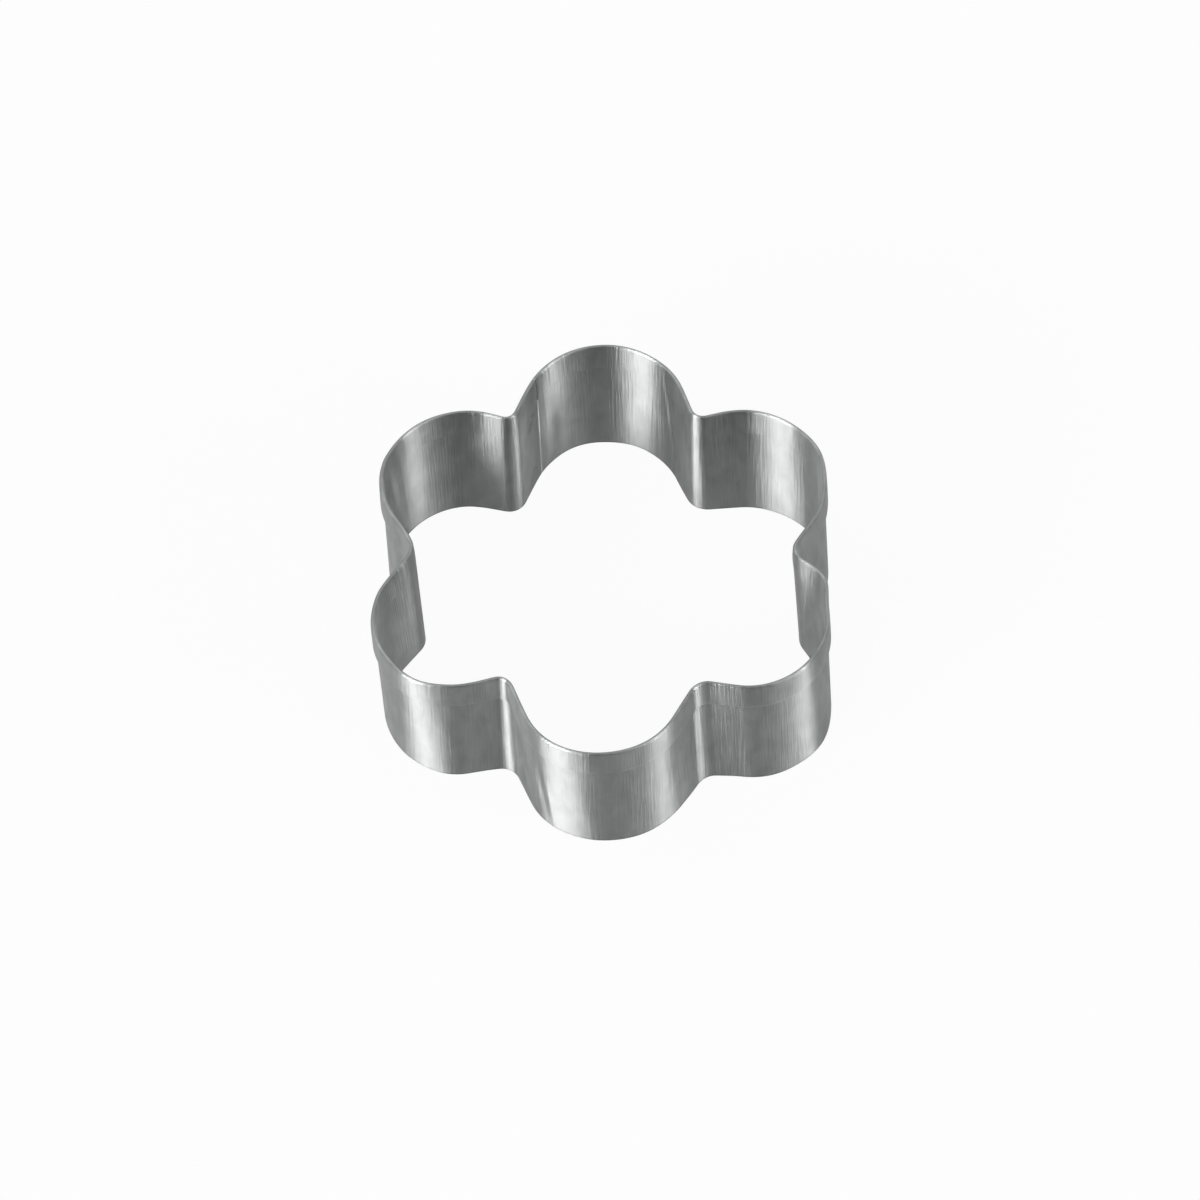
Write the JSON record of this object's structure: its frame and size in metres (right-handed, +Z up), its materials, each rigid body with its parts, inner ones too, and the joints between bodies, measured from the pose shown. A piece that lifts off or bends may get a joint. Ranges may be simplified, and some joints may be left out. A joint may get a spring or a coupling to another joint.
{
  "type": "cookie cutter",
  "caption": "Open flower-shaped cookie cutter bent from a steel strip, with a folded safety hem on top and a spot-welded lap seam in one petal.",
  "frame": {"origin": "centre of the flower's box, on the plane of the cutting edge", "axes": "+Z up from the cutting edge to the hem, +Y to the back petal that holds the lap seam, +X to the right seen from the front"},
  "size_m": [0.0702, 0.077, 0.025],
  "materials": {
    "polished_steel": "polished stainless sheet, nearly a mirror, with fine scratches along the strip",
    "weld_steel": "pressed and slightly dulled by the electrode"
  },
  "bodies": {
    "root": {"cutting_band": "polished_steel", "folded_hem": "polished_steel", "spot_welds": "weld_steel"}
  },
  "joints": []
}
